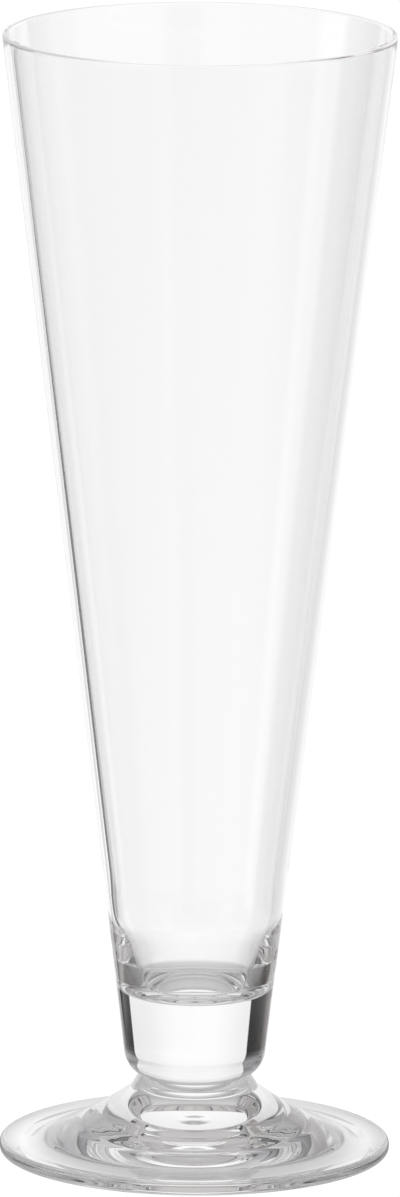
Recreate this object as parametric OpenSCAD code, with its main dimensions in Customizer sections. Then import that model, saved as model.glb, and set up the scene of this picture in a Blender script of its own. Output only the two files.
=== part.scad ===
/* [Overall] */
// Height of the glass from the table to the rim
glass_h = 225; // [190:1:260]

/* [Bowl] */
// Outside diameter at the rim
rim_d = 77.8; // [68:0.1:90]
// Thickness of the wall at the rim
rim_wall = 1.6; // [1.3:0.1:3]
// Radius of the fire-polished rounding of the lip
lip_round = 0.65; // [0.3:0.05:0.75]
// Outside diameter where the cone runs into the heavy base
belly_d = 37.8; // [35:0.1:42]
// Height above the table where the cone runs into the heavy base
belly_z = 61; // [56:1:72]
// Outside diameter of the heavy base at its lower corner, before the rounding
base_d = 27.5; // [26:0.1:30]
// Height of that lower corner above the neck
base_corner_h = 2.2; // [1.4:0.1:2.8]
// Radius of the rounded lower corner of the base
base_round = 6.8; // [3:0.1:8]

/* [Hollow] */
// Thickness of solid glass under the hollow
base_t = 16.25; // [13:0.05:19]
// Diameter of the flat floor of the hollow, before the rounding
floor_d = 20.8; // [17:0.1:23]
// Radius of the rounding between the floor and the wall
floor_round = 5; // [1:0.1:6]
// Height of the lower bend of the wall above the floor
low_bend_h = 7.8; // [6.5:0.1:9]
// Thickness of the wall at the lower bend
low_bend_wall = 3.25; // [2.4:0.05:4.2]
// Height of the upper bend of the wall above the floor
high_bend_h = 15.2; // [13:0.1:17.5]
// Thickness of the wall at the upper bend
high_bend_wall = 1.95; // [1.4:0.05:2.6]
// Radius of the rounding of both bends
bend_round = 22; // [10:1:30]
// Height over which the hollow closes, from the straight wall to the floor
hollow_close_h = 23; // [20:0.1:27]
// Thickness of the wall where the hollow begins to close
low_wall = 2.2; // [1.5:0.05:3.5]

/* [Stem button] */
// Diameter of the neck, where the bowl meets the stem
neck_d = 22; // [18:0.1:24]
// Height of the stem button between foot and bowl
button_h = 2.6; // [1.8:0.1:3.5]
// Diameter of the seat where the stem button stands on the foot
seat_d = 25.2; // [24.4:0.1:27]

/* [Foot] */
// Diameter of the foot
foot_d = 77.4; // [70:0.1:86]
// Height of the foot up to the seat of the stem button
foot_h = 13.15; // [11:0.05:16]
// Thickness of the outer edge of the foot
edge_t = 2.6; // [2.2:0.1:3]
// Radius of the rounded edge of the foot
edge_round = 1.05; // [0.5:0.05:1.1]
// Diameter where the flare runs out into the flat brim
brim_d = 60.2; // [54:0.1:66]
// Thickness of the foot where the flare runs out
brim_t = 3.1; // [3:0.1:4]
// Radius of the rounding between flare and brim
brim_round = 6; // [2:0.5:8]
// Radius of the long hollow curve of the flare
flare_round = 90; // [40:1:120]

/* [Underside] */
// Diameter of the flat face of the round boss under the middle of the foot
boss_d = 16.6; // [14:0.1:19]
// Gap between that face and the table
boss_gap = 0.5; // [0.2:0.05:0.8]
// Diameter at the root of the boss, where the hollowed underside is highest
boss_root_d = 19.6; // [17.6:0.1:23]
// Height of the hollowed underside at the root of the boss
under_h = 3.4; // [2.4:0.05:4]
// Radius of the roundings of the boss
boss_round = 1; // [0.5:0.1:2]
// Diameter of the gate mark, a small dimple in the middle of the boss
dimple_d = 5.2; // [3:0.1:7]
// Depth of the gate mark
dimple_h = 0.25; // [0.1:0.05:0.4]
// Radius of the rounding of its border
dimple_round = 2.6; // [0.5:0.1:4]
// Width of the flat ring at the edge on which the foot rests
rest_w = 4.7; // [3.5:0.1:7]
// Radius of the rounding between the hollowed underside and the flat ring
rest_round = 2; // [0.5:0.1:4]
// Diameter of the inner moulded groove
inner_groove_d = 30.8; // [28:0.1:34]
// Diameter of the outer moulded groove
outer_groove_d = 40.4; // [37:0.1:46]
// Width of each groove
groove_w = 1; // [0.6:0.05:2]
// Depth of each groove
groove_h = 0.08; // [0.04:0.01:0.2]

/* [Hidden] */

$fn = 180;
// Largest turn of one straight piece of a rounded corner, in degrees
arc_step = 6;
// Largest share of the shorter side of a corner that its rounding may take up
round_limit_share = 0.7;
// Where the flare is at its deepest bend, as shares of its reach and of its drop
flare_reach_share = 0.39;
flare_drop_share = 0.50;
// Where the side of the stem button bends, as shares of its reach and of its height
button_reach_share = 0.56;
button_rise_share = 0.50;
// Radius of that bend as a share of the height of the button
button_round_share = 1.15;

rim_r = rim_d / 2;
belly_r = belly_d / 2;
base_r = base_d / 2;
neck_r = neck_d / 2;
seat_r = seat_d / 2;
foot_r = foot_d / 2;
brim_r = brim_d / 2;
boss_r = boss_d / 2;
boss_root_r = boss_root_d / 2;
dimple_r = dimple_d / 2;
rest_r = foot_r - rest_w;
floor_r = floor_d / 2;
neck_z = foot_h + button_h;
base_corner_z = neck_z + base_corner_h;
hollow_floor_z = neck_z + base_t;
hollow_top_z = hollow_floor_z + hollow_close_h;
hollow_top_r = cone_r(hollow_top_z) - low_wall;
high_bend_z = hollow_floor_z + high_bend_h;
high_bend_r = cone_r(high_bend_z) - high_bend_wall;
low_bend_z = hollow_floor_z + low_bend_h;
low_bend_r = cone_r(low_bend_z) - low_bend_wall;

// Outside radius of the unrounded cone at a height
function cone_r(z) = z < belly_z
    ? base_r + (belly_r - base_r) * (z - base_corner_z) / (belly_z - base_corner_z)
    : belly_r + (rim_r - belly_r) * (z - belly_z) / (glass_h - belly_z);

function unit(v) = v / norm(v);
function flat(p) = [p.x, p.y];

// Corner b, between a and c, as an arc of radius b.z, shortened where its sides are short
function corner_arc(a, b, c) =
    let (
        to_a = flat(a) - flat(b),
        to_c = flat(c) - flat(b),
        u = unit(to_a),
        v = unit(to_c),
        half = acos(u * v) / 2,
        leg = min(b.z / tan(half), round_limit_share * min(norm(to_a), norm(to_c))),
        radius = leg * tan(half),
        centre = flat(b) + unit(u + v) * leg / cos(half),
        start = flat(b) + u * leg - centre,
        turn = 180 - 2 * half,
        side = sign(u.x * v.y - u.y * v.x),
        pieces = max(2, ceil(turn / arc_step))
    )
    [for (i = [0 : pieces])
        let (t = -side * turn * i / pieces)
        centre + [start.x * cos(t) - start.y * sin(t), start.x * sin(t) + start.y * cos(t)]];

// Outline whose corners [x, y, radius] are rounded, where the first and last stay sharp
function rounded(corners) =
    [for (i = [0 : len(corners) - 1])
        let (here = corners[i], inside = i > 0 && i < len(corners) - 1)
        each (inside && here.z > 0
            ? corner_arc(corners[i - 1], here, corners[i + 1])
            : [flat(here)])];

// Height of the hollowed underside at a radius outside the boss
function under_z(r) = under_h * (rest_r - r) / (rest_r - boss_root_r);

// Shallow groove in the underside, read from its outer border to its inner border
function groove(d) = [
    [(d + groove_w) / 2, under_z((d + groove_w) / 2), 0],
    [d / 2, under_z(d / 2) + groove_h, 0],
    [(d - groove_w) / 2, under_z((d - groove_w) / 2), 0],
];

// Pressed foot: flat brim, flare up to the seat, and underneath a flat resting ring,
// a shallow hollow with two moulded grooves, and a round boss in the middle
function foot_corners() = [
    [0, foot_h, 0],
    [seat_r, foot_h, 0],
    [
        seat_r + (brim_r - seat_r) * flare_reach_share,
        foot_h - (foot_h - brim_t) * flare_drop_share,
        flare_round
    ],
    [brim_r, brim_t, brim_round],
    [foot_r, edge_t, edge_round],
    [foot_r, 0, edge_round],
    [rest_r, 0, rest_round],
    each groove(outer_groove_d),
    each groove(inner_groove_d),
    [boss_root_r, under_h, boss_round],
    [boss_r, boss_gap, boss_round],
    [dimple_r, boss_gap, dimple_round],
    [0, boss_gap + dimple_h, 0],
];

// Stem button: a short, slightly swelling collar that widens from the neck to the seat
function button_corners() = [
    [0, foot_h, 0],
    [seat_r, foot_h, 0],
    [
        neck_r + (seat_r - neck_r) * button_reach_share,
        foot_h + button_h * button_rise_share,
        button_h * button_round_share
    ],
    [neck_r, neck_z, 0],
    [0, neck_z, 0],
];

// Bowl: from the axis under the base up the outside, over the lip and down to the floor of the hollow
function bowl_corners() = [
    [0, neck_z, 0],
    [neck_r, neck_z, 0],
    [base_r, base_corner_z, base_round],
    [belly_r, belly_z, belly_z],
    [rim_r, glass_h, lip_round],
    [rim_r - rim_wall, glass_h, lip_round],
    [hollow_top_r, hollow_top_z, 0],
    [high_bend_r, high_bend_z, bend_round],
    [low_bend_r, low_bend_z, bend_round],
    [floor_r, hollow_floor_z, floor_round],
    [0, hollow_floor_z, 0],
];

module foot() {
    color([0.88, 0.90, 0.92, 0.55])
        rotate_extrude()
            polygon(rounded(foot_corners()));
}

module stem_button() {
    color([0.80, 0.84, 0.87, 0.55])
        rotate_extrude()
            polygon(rounded(button_corners()));
}

module bowl() {
    color([0.92, 0.94, 0.95, 0.45])
        rotate_extrude()
            polygon(rounded(bowl_corners()));
}

foot();
stem_button();
bowl();
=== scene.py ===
"""Pilsner glass: a blown bowl on a short stem and a pressed foot, in clear glass on a white table.

Lengths are in millimetres where they are named, and MM turns them into metres.
Each piece is a surface of revolution: an outline (radius, height) carried once round the Z axis.
"""

import math

import bpy
import numpy as np
from mathutils import Matrix


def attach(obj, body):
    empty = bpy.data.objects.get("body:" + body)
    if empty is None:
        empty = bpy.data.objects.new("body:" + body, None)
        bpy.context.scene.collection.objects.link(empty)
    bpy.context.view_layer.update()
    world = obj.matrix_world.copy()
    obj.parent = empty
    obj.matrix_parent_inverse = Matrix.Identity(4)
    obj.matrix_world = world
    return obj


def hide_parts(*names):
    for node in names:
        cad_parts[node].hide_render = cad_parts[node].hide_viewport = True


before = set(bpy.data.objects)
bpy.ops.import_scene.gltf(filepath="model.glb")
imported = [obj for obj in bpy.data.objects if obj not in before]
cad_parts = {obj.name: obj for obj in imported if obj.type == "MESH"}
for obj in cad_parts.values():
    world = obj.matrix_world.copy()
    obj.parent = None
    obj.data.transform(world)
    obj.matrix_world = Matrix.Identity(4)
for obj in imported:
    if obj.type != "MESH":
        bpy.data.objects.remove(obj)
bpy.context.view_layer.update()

MM = 0.001

# Sizes of the glass, in millimetres
GLASS_HEIGHT = 225.0
RIM_RADIUS = 38.9
RIM_WALL = 1.6
LIP_ROUND = 0.65
BELLY_RADIUS = 18.9
BELLY_HEIGHT = 61.0
BASE_RADIUS = 13.75
BASE_CORNER_RISE = 2.2
BASE_ROUND = 6.8
BASE_THICKNESS = 16.25
FLOOR_RADIUS = 10.4
FLOOR_ROUND = 5.0
LOW_BEND_RISE = 7.8
LOW_BEND_WALL = 3.25
HIGH_BEND_RISE = 15.2
HIGH_BEND_WALL = 1.95
BEND_ROUND = 22.0
HOLLOW_CLOSE = 23.0
LOW_WALL = 2.2
NECK_RADIUS = 11.0
BUTTON_HEIGHT = 2.6
BUTTON_REACH_SHARE = 0.56
BUTTON_RISE_SHARE = 0.50
BUTTON_ROUND = 3.0
SEAT_RADIUS = 12.6
FOOT_RADIUS = 38.7
FOOT_HEIGHT = 13.15
EDGE_THICKNESS = 2.6
EDGE_ROUND = 1.05
BRIM_RADIUS = 30.1
BRIM_THICKNESS = 3.1
BRIM_ROUND = 6.0
FLARE_ROUND = 90.0
FLARE_REACH_SHARE = 0.39
FLARE_DROP_SHARE = 0.50
BOSS_RADIUS = 8.3
BOSS_GAP = 0.5
BOSS_ROOT_RADIUS = 9.8
UNDER_HEIGHT = 3.4
BOSS_ROUND = 1.0
DIMPLE_RADIUS = 2.6
DIMPLE_DEPTH = 0.25
DIMPLE_ROUND = 2.6
REST_WIDTH = 4.7
REST_ROUND = 2.0
INNER_GROOVE_RADIUS = 15.4
OUTER_GROOVE_RADIUS = 20.2
GROOVE_WIDTH = 1.0
GROOVE_DEPTH = 0.08

NECK_HEIGHT = FOOT_HEIGHT + BUTTON_HEIGHT
BASE_CORNER_HEIGHT = NECK_HEIGHT + BASE_CORNER_RISE
FLOOR_HEIGHT = NECK_HEIGHT + BASE_THICKNESS
REST_RADIUS = FOOT_RADIUS - REST_WIDTH

# Fineness of the surfaces, with the longest straight steps in millimetres
ROUND_STEPS = 288
ARC_STEP = math.radians(3)
FEWEST_ARC_STEPS = 4
LONGEST_STEP = 1.6
LONGEST_BOWL_STEP = 2.2

# Largest share of the shorter side of a corner that its rounding may take up
ROUND_LIMIT_SHARE = 0.7

# Edges that turn by more than this stay sharp, and faces this close to level count as joint faces
SHARP_ANGLE = math.radians(24)
JOINT_FLATNESS = 0.999
JOINT_NEARNESS = 1e-6

# Glass: cord depth in metres, and the number of bounces after which trapped light is let out
GLASS_IOR = 1.52
GLASS_TINT = (1.0, 1.0, 1.0)
CLEAN_ROUGHNESS = 0.0
FILM_ROUGHNESS = 0.012
CORD_DEPTH = 0.000004
LET_OUT_DEPTH = 14.5

# Cords in the glass: stretch of their noise along x, y and z, per metre
CORD_STRETCH = (90, 90, 7)
CORD_DETAIL = 2.0
CORD_DISTORTION = 0.4
CORD_SHARE = 0.35
SWELL_STRETCH = (30, 30, 22)
SWELL_DETAIL = 1.0

# Film on the glass: scale of its noise per metre, and the range in which it comes up
PATCH_SCALE = 55.0
PATCH_DETAIL = 3.0
PATCH_DISTORTION = 0.6
PATCH_RANGE = (0.56, 0.74)
SPECK_SCALE = 900.0
SPECK_DETAIL = 1.0
SPECK_RANGE = (0.74, 0.80)
SPECK_SHARE = 0.6

# Light seen through the glass: left, right, bottom, top, side blur and end blur in degrees, then level.
# Flags, cards, the backdrop's borders and the zones at its edge are given one by one. The other borders
# and levels were fitted to the tones that the photograph shows in the glass.
ROOM_LEVEL = (0.08, 0.06, 0.06)
ZONES = (
    ("floor", -181, 181, -91, -21.3, 1.5, 5.7, (0.95, 0.93, 0.91)),
    ("table towards the camera, left", -181, -129.6, -41.2, -29.5, 10.3, 16, (0.57, 0.57, 0.57)),
    ("table towards the camera, right", 111, 181, -47.2, -38.1, 11.5, 3, (0.41, 0.41, 0.42)),
    ("table close to the glass", -181, 181, -91, -53.6, 11.4, 15.7, (0.69, 0.70, 0.70)),
    ("ceiling", -181, 181, 47.6, 91, 7.5, 14.8, (0.37, 0.35, 0.35)),
    ("ceiling in front", -59.2, 34.9, 32.8, 58.1, 14.1, 1.5, (0.62, 0.59, 0.59)),
    ("behind the camera, left", -181, -127.9, -21.7, 22, 12.6, 3.7, (0.42, 0.39, 0.38)),
    ("behind the camera, right", 156.8, 181, -22.7, 41.5, 16, 10.8, (0.08, 0.06, 0.05)),
    ("high behind the camera, left", -181, -97.7, 23.9, 92.7, 3.7, 1.5, (0.53, 0.51, 0.51)),
    ("high behind the camera, right", 89.5, 181, 17.2, 94.8, 14.7, 2.6, (0.58, 0.56, 0.56)),
    ("left wall", -155.8, -79.5, -24.8, 54, 3.3, 3.5, (0.34, 0.32, 0.32)),
    ("right wall", 34.8, 159.2, -21.5, 45.4, 5.6, 1.5, (0.46, 0.45, 0.46)),
    ("left of the table", -88.3, 43.1, -32.2, -15, 1.5, 1.5, (0.42, 0.37, 0.37)),
    ("right of the table", 28.9, 97.4, -31.7, 13.6, 1.5, 5.2, (0.27, 0.27, 0.28)),
    ("near left of the table", -93.3, -58.1, -62.8, -15.5, 16, 1.5, (0.89, 0.87, 0.86)),
    ("near right of the table", 11.4, 96.9, -34.7, -26.4, 3.2, 14.3, (0.25, 0.25, 0.24)),
    ("left panel", -83.3, -43, 10.8, 35.7, 1.5, 13.6, (0.22, 0.23, 0.23)),
    ("right panel", 45.3, 89, 37.4, 54.1, 3.4, 10.1, (0.69, 0.67, 0.69)),
    ("left flag", -60, -33, -8, 27, 2, 2, (0.02, 0.02, 0.02)),
    ("right flag", 45, 74, -8, 24, 2, 2, (0.02, 0.02, 0.02)),
    ("table in front of the backdrop", -31.2, 80.5, -87.4, -15.6, 16, 16, (0.69, 0.68, 0.67)),
    ("upper backdrop", -63.3, 86.2, 12.1, 40, 16, 13.6, (0.43, 0.43, 0.45)),
    ("backdrop", -35.5, 47, -26, 24, 0.6, 3, (0.76, 0.76, 0.76)),
    ("backdrop at eye level", -35.5, 47, -8, 14, 0.6, 3, (0.93, 0.93, 0.93)),
    ("backdrop centre", -21.8, 20.8, -58.5, 19.2, 10.6, 16, (1.01, 1.01, 1.01)),
    ("bright edge of the backdrop", -32, -25.5, -20, -9, 1.5, 2, (1.00, 1.00, 1.00)),
    ("table beside the backdrop", -60, -33, -20, -10, 1, 2, (0.42, 0.42, 0.42)),
    ("dark edge of the backdrop", -37.5, -31.5, -26, -9, 0.4, 2, (0.02, 0.02, 0.02)),
    ("pale card, left", -101, -79, -11, 5, 4, 4, (0.95, 0.95, 0.95)),
    ("pale card, low left", -52, -41, -32, -18, 2.5, 4, (0.95, 0.95, 0.95)),
    ("pale card, behind right", 126, 144, -22, -8, 4, 4, (0.95, 0.95, 0.95)),
)

# Painted shade and painted light on the table top near the foot, seen only through the glass: radius in
# millimetres, then the level.
# The radii are given, and the levels were fitted in the same way.
PAINTED_SHADE_DISC = (
    (0, 0.12), (9, 0.77), (14, 0.29), (22, 0.60), (32, 0.44),
    (38, 0.69), (42, 0.57), (50, 0.67), (58, 0.99), (70, 1.00),
)
# Painted light and shade on the disc's left and right sides: radius in millimetres, then the level.
PAINTED_SHADE_DISC_LEFT = ((9, 0.65), (24, 0.03), (34, 1.00), (42, 0.00), (70, 0.00))
PAINTED_SHADE_DISC_RIGHT = ((9, 0.61), (24, 0.18), (34, 0.85), (42, 0.00), (48, 0.00), (56, 0.02), (70, 0.06))
PAINTED_SHADE_DISC_FADE = (70.0, 110.0)
PAINTED_SHADE_DISC_HEIGHT = -0.12
PAINTED_SHADE_DISC_TURNS = 96
PAINTED_SHADE_DISC_RINGS = 11
SMALLEST_SQUARE = 1e-12

# White table top for the camera: half its side in metres, height in millimetres, and its light
TABLE_HALF = 20.0
TABLE_HEIGHT = -0.2
TABLE_LIGHT = 1.05

# Sockets of a Mix node of colours
MIX_FIRST = 6
MIX_SECOND = 7
MIX_RESULT = 2

# Bounces of light that the glass needs
BOUNCES = 32

# Camera, from the photograph's outline: metres, radians, pixels, and the sensor's height in millimetres
CAMERA_DISTANCE = 2.772
CAMERA_HEIGHT = 0.6831
CAMERA_PITCH = 0.2032
CAMERA_ROLL = 0.0055
CAMERA_YAW = -0.0002
FOCAL_PIXELS = 14338.0
PHOTO_HEIGHT = 1197.0
SENSOR = 24.0
CLIP_START = 0.1
CLIP_END = 100.0


def arc_corner(before, corner, after, radius):
    """Arc of a radius in a corner: centre on the bisector, points turned about it by equal steps."""
    to_a, to_c = before - corner, after - corner
    length_a, length_c = np.linalg.norm(to_a), np.linalg.norm(to_c)
    u, v = to_a / length_a, to_c / length_c
    half = 0.5 * math.acos(float(np.clip(u @ v, -1, 1)))
    leg = min(radius / math.tan(half), ROUND_LIMIT_SHARE * min(length_a, length_c))
    bisector = (u + v) / np.linalg.norm(u + v)
    centre = corner + bisector * leg / math.cos(half)
    start = corner + u * leg - centre
    turn = math.pi - 2 * half
    side = math.copysign(1.0, u[0] * v[1] - u[1] * v[0])
    steps = max(FEWEST_ARC_STEPS, math.ceil(turn / ARC_STEP))
    t = -side * turn * np.linspace(0, 1, steps + 1)[:, None]
    across = start[0] * np.cos(t) - start[1] * np.sin(t)
    up = start[0] * np.sin(t) + start[1] * np.cos(t)
    return centre + np.hstack([across, up])


def rounded(corners):
    """Outline through corners (radius, height, rounding), with each rounded corner as an arc."""
    points = np.array([c[:2] for c in corners])
    runs = [points[:1]]
    for i in range(1, len(corners) - 1):
        rounding = corners[i][2]
        if rounding:
            runs.append(arc_corner(points[i - 1], points[i], points[i + 1], rounding))
        else:
            runs.append(points[i:i + 1])
    runs.append(points[-1:])
    return np.vstack(runs)


def fine(outline, longest):
    """Same outline with every straight stretch cut into steps no longer than longest."""
    lengths = np.linalg.norm(np.diff(outline, axis=0), axis=1)
    parts = [outline[:1]]
    for a, b, length in zip(outline[:-1], outline[1:], lengths):
        steps = max(1, math.ceil(length / longest))
        t = np.linspace(0, 1, steps + 1)[1:, None]
        parts.append(a + (b - a) * t)
    return np.vstack(parts)


def under_height(radius):
    """Height of the hollowed underside at a radius: a slope from the boss to the resting ring."""
    return UNDER_HEIGHT * (REST_RADIUS - radius) / (REST_RADIUS - BOSS_ROOT_RADIUS)


def groove(radius):
    """Shallow groove of triangular section in the underside, from its outer to its inner border."""
    outer, inner = radius + GROOVE_WIDTH / 2, radius - GROOVE_WIDTH / 2
    return [
        (outer, under_height(outer), 0),
        (radius, under_height(radius) + GROOVE_DEPTH, 0),
        (inner, under_height(inner), 0),
    ]


def foot_outline():
    """Foot as rounded corners: from the seat down the flare, round the edge and in underneath."""
    return rounded([
        (0, FOOT_HEIGHT, 0),
        (SEAT_RADIUS, FOOT_HEIGHT, 0),
        (SEAT_RADIUS + (BRIM_RADIUS - SEAT_RADIUS) * FLARE_REACH_SHARE,
         FOOT_HEIGHT - (FOOT_HEIGHT - BRIM_THICKNESS) * FLARE_DROP_SHARE, FLARE_ROUND),
        (BRIM_RADIUS, BRIM_THICKNESS, BRIM_ROUND),
        (FOOT_RADIUS, EDGE_THICKNESS, EDGE_ROUND),
        (FOOT_RADIUS, 0, EDGE_ROUND),
        (REST_RADIUS, 0, REST_ROUND),
        *groove(OUTER_GROOVE_RADIUS),
        *groove(INNER_GROOVE_RADIUS),
        (BOSS_ROOT_RADIUS, UNDER_HEIGHT, BOSS_ROUND),
        (BOSS_RADIUS, BOSS_GAP, BOSS_ROUND),
        (DIMPLE_RADIUS, BOSS_GAP, DIMPLE_ROUND),
        (0, BOSS_GAP + DIMPLE_DEPTH, 0),
    ])


def button_outline():
    """Stem button as rounded corners: from the neck down its swelling side to the seat."""
    return rounded([
        (0, NECK_HEIGHT, 0),
        (NECK_RADIUS, NECK_HEIGHT, 0),
        (NECK_RADIUS + (SEAT_RADIUS - NECK_RADIUS) * BUTTON_REACH_SHARE,
         FOOT_HEIGHT + BUTTON_HEIGHT * BUTTON_RISE_SHARE, BUTTON_ROUND),
        (SEAT_RADIUS, FOOT_HEIGHT, 0),
        (0, FOOT_HEIGHT, 0),
    ])


def cone_radius(height):
    """Outside radius of the unrounded bowl: it grows evenly to the belly, then evenly to the rim."""
    if height < BELLY_HEIGHT:
        share = (height - BASE_CORNER_HEIGHT) / (BELLY_HEIGHT - BASE_CORNER_HEIGHT)
        return BASE_RADIUS + (BELLY_RADIUS - BASE_RADIUS) * share
    share = (height - BELLY_HEIGHT) / (GLASS_HEIGHT - BELLY_HEIGHT)
    return BELLY_RADIUS + (RIM_RADIUS - BELLY_RADIUS) * share


def bowl_outline():
    """Bowl as rounded corners: up the outside, over the lip and down the hollow to its floor."""
    low = FLOOR_HEIGHT + LOW_BEND_RISE
    high = FLOOR_HEIGHT + HIGH_BEND_RISE
    top = FLOOR_HEIGHT + HOLLOW_CLOSE
    return rounded([
        (0, NECK_HEIGHT, 0),
        (NECK_RADIUS, NECK_HEIGHT, 0),
        (BASE_RADIUS, BASE_CORNER_HEIGHT, BASE_ROUND),
        (BELLY_RADIUS, BELLY_HEIGHT, BELLY_HEIGHT),
        (RIM_RADIUS, GLASS_HEIGHT, LIP_ROUND),
        (RIM_RADIUS - RIM_WALL, GLASS_HEIGHT, LIP_ROUND),
        (cone_radius(top) - LOW_WALL, top, 0),
        (cone_radius(high) - HIGH_BEND_WALL, high, BEND_ROUND),
        (cone_radius(low) - LOW_BEND_WALL, low, BEND_ROUND),
        (FLOOR_RADIUS, FLOOR_HEIGHT, FLOOR_ROUND),
        (0, FLOOR_HEIGHT, 0),
    ])


def revolve(name, outline, flat_levels):
    """Closed surface: point (r, z) of the outline goes to (r cos t, r sin t, z) for t once round.

    Faces that lie at one of flat_levels are the fused joints: their attribute joint is 1.
    """
    area = np.sum(outline[:-1, 0] * outline[1:, 1] - outline[1:, 0] * outline[:-1, 1])
    if area > 0:
        outline = outline[::-1]
    rings = outline[1:-1]
    t = np.linspace(0, 2 * math.pi, ROUND_STEPS, endpoint=False)
    grid = np.stack([
        rings[:, :1] * np.cos(t),
        rings[:, :1] * np.sin(t),
        np.repeat(rings[:, 1:2], ROUND_STEPS, axis=1),
    ], axis=2)
    count = len(rings)
    poles = [[0, 0, outline[0, 1]], [0, 0, outline[-1, 1]]]
    points = np.vstack([grid.reshape(-1, 3), poles]) * MM
    here = np.arange(ROUND_STEPS)
    there = (here + 1) % ROUND_STEPS
    row = np.arange(count - 1)[:, None] * ROUND_STEPS
    next_row = row + ROUND_STEPS
    quads = np.stack([row + here, next_row + here, next_row + there, row + there], axis=2)
    first, last = count * ROUND_STEPS, count * ROUND_STEPS + 1
    start_fan = np.stack([np.full(ROUND_STEPS, first), here, there], axis=1)
    final = (count - 1) * ROUND_STEPS
    end_fan = np.stack([np.full(ROUND_STEPS, last), final + there, final + here], axis=1)
    faces = start_fan.tolist() + quads.reshape(-1, 4).tolist() + end_fan.tolist()
    mesh = bpy.data.meshes.new(name)
    mesh.from_pydata(points.tolist(), [], faces)
    mesh.shade_smooth()
    piece = bpy.data.objects.new(name, mesh)
    bpy.context.scene.collection.objects.link(piece)
    mark_joints(mesh, flat_levels)
    return piece


def mark_joints(mesh, levels):
    """Sets the face attribute joint where a face lies flat at a level, and keeps its border sharp."""
    count = len(mesh.polygons)
    centres = np.empty(count * 3)
    normals = np.empty(count * 3)
    mesh.polygons.foreach_get("center", centres)
    mesh.polygons.foreach_get("normal", normals)
    heights = centres.reshape(-1, 3)[:, 2]
    flatness = np.abs(normals.reshape(-1, 3)[:, 2])
    joint = np.zeros(count)
    for level in levels:
        at_level = np.abs(heights - level * MM) < JOINT_NEARNESS
        joint[at_level & (flatness > JOINT_FLATNESS)] = 1.0
    mesh.attributes.new("joint", "FLOAT", "FACE").data.foreach_set("value", joint)
    mesh.set_sharp_from_angle(angle=SHARP_ANGLE)


def new_group(name, inputs, outputs):
    """Empty shader node group with float or vector sockets, and its input and output nodes."""
    group = bpy.data.node_groups.new(name, "ShaderNodeTree")
    for label, kind in inputs:
        group.interface.new_socket(label, in_out="INPUT", socket_type=kind)
    for label, kind in outputs:
        group.interface.new_socket(label, in_out="OUTPUT", socket_type=kind)
    return group, group.nodes.new("NodeGroupInput"), group.nodes.new("NodeGroupOutput")


def feed(tree, value, socket):
    """Links a socket's value into another, or sets it there if it is a plain number or colour."""
    if isinstance(value, (int, float, tuple)):
        socket.default_value = value
    else:
        tree.links.new(value, socket)


def math_node(tree, operation, first, second=None):
    """Math node whose operands are sockets or plain numbers."""
    node = tree.nodes.new("ShaderNodeMath")
    node.operation = operation
    feed(tree, first, node.inputs[0])
    if second is not None:
        feed(tree, second, node.inputs[1])
    return node.outputs[0]


def noise(tree, vector, scale, detail, distortion=0.0):
    """Noise texture at a place, as its factor."""
    node = tree.nodes.new("ShaderNodeTexNoise")
    node.inputs["Scale"].default_value = scale
    node.inputs["Detail"].default_value = detail
    node.inputs["Distortion"].default_value = distortion
    tree.links.new(vector, node.inputs["Vector"])
    return node.outputs["Fac"]


def stretched(tree, vector, scale):
    """Place scaled by x, y and z."""
    node = tree.nodes.new("ShaderNodeMapping")
    node.inputs["Scale"].default_value = scale
    tree.links.new(vector, node.inputs["Vector"])
    return node.outputs["Vector"]


def smooth_range(tree, value, low, high, to_low=0.0, to_high=1.0):
    """Smooth step from to_low at low to to_high at high."""
    node = tree.nodes.new("ShaderNodeMapRange")
    node.interpolation_type = "SMOOTHSTEP"
    feed(tree, value, node.inputs["Value"])
    feed(tree, low, node.inputs["From Min"])
    feed(tree, high, node.inputs["From Max"])
    feed(tree, to_low, node.inputs["To Min"])
    feed(tree, to_high, node.inputs["To Max"])
    return node.outputs["Result"]


def mixed(tree, factor, first, second):
    """Colour between first and second, which are sockets or plain colours."""
    mix = tree.nodes.new("ShaderNodeMix")
    mix.data_type = "RGBA"
    feed(tree, factor, mix.inputs["Factor"])
    feed(tree, first, mix.inputs[MIX_FIRST])
    feed(tree, second, mix.inputs[MIX_SECOND])
    return mix.outputs[MIX_RESULT]


def cords_group():
    """Faint cords drawn out along the axis while the glass was soft, and a slower swell across them."""
    group, inside, outside = new_group(
        "glass cords", [("Position", "NodeSocketVector")], [("Height", "NodeSocketFloat")])
    place = inside.outputs["Position"]
    long_cords = noise(group, stretched(group, place, CORD_STRETCH), 1.0, CORD_DETAIL, CORD_DISTORTION)
    swell = noise(group, stretched(group, place, SWELL_STRETCH), 1.0, SWELL_DETAIL)
    height = math_node(group, "ADD", math_node(group, "MULTIPLY", long_cords, CORD_SHARE), swell)
    group.links.new(height, outside.inputs["Height"])
    return group


def film_group():
    """Thin film of handling and rinsing: soft patches and fine dried specks, as a roughness."""
    group, inside, outside = new_group(
        "handling film",
        [("Position", "NodeSocketVector"), ("Clean", "NodeSocketFloat"), ("Film", "NodeSocketFloat")],
        [("Roughness", "NodeSocketFloat")])
    place = inside.outputs["Position"]
    patch_noise = noise(group, place, PATCH_SCALE, PATCH_DETAIL, PATCH_DISTORTION)
    patches = smooth_range(group, patch_noise, *PATCH_RANGE)
    specks = smooth_range(group, noise(group, place, SPECK_SCALE, SPECK_DETAIL), *SPECK_RANGE)
    cover = math_node(group, "MAXIMUM", patches, math_node(group, "MULTIPLY", specks, SPECK_SHARE))
    mix = group.nodes.new("ShaderNodeMix")
    group.links.new(cover, mix.inputs["Factor"])
    group.links.new(inside.outputs["Clean"], mix.inputs["A"])
    group.links.new(inside.outputs["Film"], mix.inputs["B"])
    group.links.new(mix.outputs["Result"], outside.inputs["Roughness"])
    return group


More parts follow.
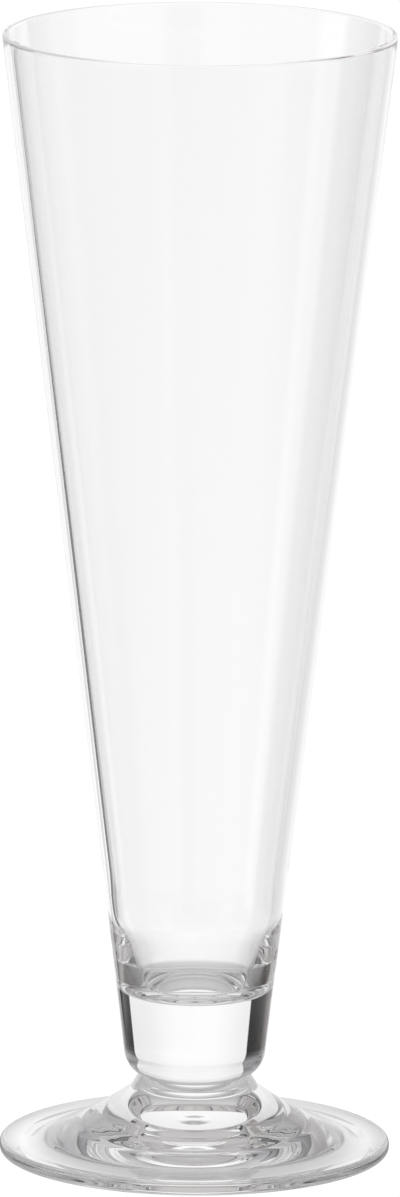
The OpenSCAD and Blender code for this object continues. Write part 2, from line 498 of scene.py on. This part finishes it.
def glass_material(name, tint, groups):
    """Clear glass: cords and film by groups, fused joint faces see-through, trapped light let out."""
    material = bpy.data.materials.new(name)
    material.use_nodes = True
    tree = material.node_tree
    shader = tree.nodes["Principled BSDF"]
    shader.inputs["Base Color"].default_value = (*tint, 1)
    shader.inputs["IOR"].default_value = GLASS_IOR
    shader.inputs["Transmission Weight"].default_value = 1.0
    place = tree.nodes.new("ShaderNodeTexCoord").outputs["Object"]

    film = tree.nodes.new("ShaderNodeGroup")
    film.node_tree = groups["film"]
    film.inputs["Clean"].default_value = CLEAN_ROUGHNESS
    film.inputs["Film"].default_value = FILM_ROUGHNESS
    tree.links.new(place, film.inputs["Position"])
    tree.links.new(film.outputs["Roughness"], shader.inputs["Roughness"])

    cords = tree.nodes.new("ShaderNodeGroup")
    cords.node_tree = groups["cords"]
    tree.links.new(place, cords.inputs["Position"])
    bump = tree.nodes.new("ShaderNodeBump")
    bump.inputs["Strength"].default_value = 1.0
    bump.inputs["Distance"].default_value = CORD_DEPTH
    tree.links.new(cords.outputs["Height"], bump.inputs["Height"])
    tree.links.new(bump.outputs["Normal"], shader.inputs["Normal"])

    joint = tree.nodes.new("ShaderNodeAttribute")
    joint.attribute_name = "joint"
    depth = tree.nodes.new("ShaderNodeLightPath").outputs["Ray Depth"]
    held = math_node(tree, "LESS_THAN", depth, LET_OUT_DEPTH)
    solid = math_node(tree, "SUBTRACT", 1.0, joint.outputs["Fac"])
    tree.links.new(math_node(tree, "MULTIPLY", held, solid), shader.inputs["Alpha"])
    return material


def build_glass():
    """The three pieces in clear glass, each in place of its plain solid."""
    groups = {"cords": cords_group(), "film": film_group()}
    parts = (
        ("foot", "foot_glass", fine(foot_outline(), LONGEST_STEP), (FOOT_HEIGHT,)),
        ("stem_button", "stem_glass", fine(button_outline(), LONGEST_STEP), (FOOT_HEIGHT, NECK_HEIGHT)),
        ("bowl", "bowl_glass", fine(bowl_outline(), LONGEST_BOWL_STEP), (NECK_HEIGHT,)),
    )
    for node, slot, outline, levels in parts:
        piece = revolve("clear_" + node, outline, levels)
        piece.data.materials.append(glass_material(slot, GLASS_TINT, groups))
        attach(piece, "root")
        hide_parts(node)


def glowing_material(name, strength):
    """Plain material that only gives off light: black, without shine. Returns it and its shader."""
    material = bpy.data.materials.new(name)
    material.use_nodes = True
    shader = material.node_tree.nodes["Principled BSDF"]
    shader.inputs["Base Color"].default_value = (0, 0, 0, 1)
    shader.inputs["Specular IOR Level"].default_value = 0
    shader.inputs["Emission Strength"].default_value = strength
    return material, shader


def build_floor():
    """Large white table top, seen only directly and not through the glass."""
    turns = ((-1, -1), (1, -1), (1, 1), (-1, 1))
    corners = [(TABLE_HALF * x, TABLE_HALF * y, TABLE_HEIGHT * MM) for x, y in turns]
    mesh = bpy.data.meshes.new("table")
    mesh.from_pydata(corners, [], [(0, 1, 2, 3)])
    table = bpy.data.objects.new("table", mesh)
    bpy.context.scene.collection.objects.link(table)
    material, shader = glowing_material("white_table", TABLE_LIGHT)
    shader.inputs["Emission Color"].default_value = (1, 1, 1, 1)
    mesh.materials.append(material)
    table.visible_transmission = False
    table.visible_glossy = False
    table.visible_diffuse = False
    table.visible_shadow = False


def flat_disc(name, radius, height):
    """Disc of rings: point (r cos t, r sin t, height) for equally spaced radii r and t once round."""
    turns = PAINTED_SHADE_DISC_TURNS
    radii = np.linspace(0, radius, PAINTED_SHADE_DISC_RINGS + 1)[1:]
    t = np.linspace(0, 2 * math.pi, turns, endpoint=False)
    level = np.full((len(radii), turns), height)
    grid = np.stack([radii[:, None] * np.cos(t), radii[:, None] * np.sin(t), level], axis=2)
    points = np.vstack([grid.reshape(-1, 3), [[0, 0, height]]]) * MM
    here = np.arange(turns)
    there = (here + 1) % turns
    row = np.arange(len(radii) - 1)[:, None] * turns
    next_row = row + turns
    quads = np.stack([row + here, next_row + here, next_row + there, row + there], axis=2)
    fan = np.stack([np.full(turns, len(radii) * turns), here, there], axis=1)
    mesh = bpy.data.meshes.new(name)
    mesh.from_pydata(points.tolist(), [], fan.tolist() + quads.reshape(-1, 4).tolist())
    disc = bpy.data.objects.new(name, mesh)
    bpy.context.scene.collection.objects.link(disc)
    return disc


def radial_light(tree, radius, steps):
    """Grey level that runs straight from step to step of (radius in millimetres, level)."""
    reach = steps[-1][0]
    ramp = tree.nodes.new("ShaderNodeValToRGB")
    tree.links.new(math_node(tree, "DIVIDE", radius, reach), ramp.inputs["Fac"])
    elements = ramp.color_ramp.elements
    while len(elements) < len(steps):
        elements.new(0.5)
    for element, (r, level) in zip(elements, steps):
        element.position = r / reach
        element.color = (level, level, level, 1)
    return ramp.outputs["Color"]


def painted_shade_disc_light(tree, x, y):
    """Painted light and shade at a place on the table disc, and the place's radius in millimetres.

    The light depends on the radius r, and shifts from the main table to the side's by x squared over
    r squared, with the left side's where x is negative.
    """
    x_squared = math_node(tree, "MULTIPLY", x, x)
    squared = math_node(tree, "ADD", x_squared, math_node(tree, "MULTIPLY", y, y))
    radius = math_node(tree, "DIVIDE", math_node(tree, "SQRT", squared), MM)
    sideways = math_node(tree, "DIVIDE", x_squared, math_node(tree, "MAXIMUM", squared, SMALLEST_SQUARE))
    on_the_right = math_node(tree, "GREATER_THAN", x, 0.0)
    left = radial_light(tree, radius, PAINTED_SHADE_DISC_LEFT)
    right = radial_light(tree, radius, PAINTED_SHADE_DISC_RIGHT)
    side = mixed(tree, on_the_right, left, right)
    return mixed(tree, sideways, radial_light(tree, radius, PAINTED_SHADE_DISC), side), radius


def build_painted_shade_disc():
    """Table top under and around the foot, seen only through the glass, as a glowing disc of painted
    shade and painted light that fades into the studio's light.
    """
    disc = flat_disc("painted_shade_disc", PAINTED_SHADE_DISC_FADE[1], PAINTED_SHADE_DISC_HEIGHT)
    material, shader = glowing_material("painted_shade_disc", 1.0)
    tree = material.node_tree
    split = tree.nodes.new("ShaderNodeSeparateXYZ")
    tree.links.new(tree.nodes.new("ShaderNodeTexCoord").outputs["Object"], split.inputs[0])
    x, y, _ = split.outputs
    light, radius = painted_shade_disc_light(tree, x, y)
    # The disc's emission is painted shade under the foot and painted light around it.
    tree.links.new(light, shader.inputs["Emission Color"])
    tree.links.new(smooth_range(tree, radius, *PAINTED_SHADE_DISC_FADE, 1.0, 0.0), shader.inputs["Alpha"])
    disc.data.materials.append(material)
    disc.visible_camera = False
    disc.visible_diffuse = False
    disc.visible_shadow = False


def soft_band(tree, value, low, high, soft):
    """Mask that is 1 between low and high and falls off smoothly within soft on either side."""
    masks = []
    for limit, to_low, to_high in ((low, 0.0, 1.0), (high, 1.0, 0.0)):
        start = math_node(tree, "SUBTRACT", limit, soft)
        end = math_node(tree, "ADD", limit, soft)
        masks.append(smooth_range(tree, value, start, end, to_low, to_high))
    return math_node(tree, "MULTIPLY", *masks)


def zone_group():
    """Lays a soft-edged patch of light over a base colour, between two azimuths and two elevations."""
    numbers = ["Azimuth", "Elevation", "Left", "Right", "Bottom", "Top", "Side Blur", "End Blur"]
    sockets = [(name, "NodeSocketFloat") for name in numbers]
    sockets += [("Base", "NodeSocketColor"), ("Level", "NodeSocketColor")]
    group, inside, outside = new_group("soft zone", sockets, [("Color", "NodeSocketColor")])
    azimuth, elevation, left, right, bottom, top, side_blur, end_blur, base, level = (
        inside.outputs[name] for name, kind in sockets)
    sides = soft_band(group, azimuth, left, right, side_blur)
    ends = soft_band(group, elevation, bottom, top, end_blur)
    color = mixed(group, math_node(group, "MULTIPLY", sides, ends), base, level)
    group.links.new(color, outside.inputs["Color"])
    return group


def build_world():
    """Studio seen through the glass: zones of light in the round, and plain white for the camera.

    Azimuth is atan2(x, y) of the direction, so 0 is straight behind the glass and 90 is at its right.
    Elevation is asin(z), with 90 overhead.
    """
    world = bpy.data.worlds.new("studio")
    bpy.context.scene.world = world
    world.use_nodes = True
    tree = world.node_tree
    split = tree.nodes.new("ShaderNodeSeparateXYZ")
    tree.links.new(tree.nodes.new("ShaderNodeTexCoord").outputs["Generated"], split.inputs[0])
    x, y, z = split.outputs
    azimuth = math_node(tree, "DEGREES", math_node(tree, "ARCTAN2", x, y))
    elevation = math_node(tree, "DEGREES", math_node(tree, "ARCSINE", z))
    group = zone_group()
    color = (*ROOM_LEVEL, 1)
    for name, *limits, level in ZONES:
        node = tree.nodes.new("ShaderNodeGroup")
        node.node_tree = group
        node.label = name
        for value, socket in zip((azimuth, elevation, *limits, color, (*level, 1)), node.inputs):
            feed(tree, value, socket)
        color = node.outputs["Color"]
    seen_directly = tree.nodes.new("ShaderNodeLightPath").outputs["Is Camera Ray"]
    light = mixed(tree, seen_directly, color, (1, 1, 1, 1))
    tree.links.new(light, tree.nodes["Background"].inputs["Color"])


def build_camera():
    """Camera at the photograph's viewing angle, in front of the glass and a little above it."""
    data = bpy.data.cameras.new("camera")
    data.sensor_fit = "VERTICAL"
    data.sensor_height = SENSOR
    data.lens = FOCAL_PIXELS / PHOTO_HEIGHT * SENSOR
    data.clip_start = CLIP_START
    data.clip_end = CLIP_END
    camera = bpy.data.objects.new("camera", data)
    bpy.context.scene.collection.objects.link(camera)
    camera.location = (0, -CAMERA_DISTANCE, CAMERA_HEIGHT)
    turn = (
        Matrix.Rotation(CAMERA_YAW, 4, "Z")
        @ Matrix.Rotation(math.pi / 2 - CAMERA_PITCH, 4, "X")
        @ Matrix.Rotation(CAMERA_ROLL, 4, "Z")
    )
    camera.rotation_euler = turn.to_euler()
    bpy.context.scene.camera = camera


def light_paths():
    """Plain view of the light, and enough bounces for light to pass through the glass."""
    scene = bpy.context.scene
    scene.view_settings.view_transform = "Standard"
    scene.cycles.max_bounces = BOUNCES
    scene.cycles.transmission_bounces = BOUNCES
    scene.cycles.glossy_bounces = BOUNCES
    scene.cycles.transparent_max_bounces = BOUNCES


build_glass()
build_floor()
build_painted_shade_disc()
build_world()
build_camera()
light_paths()
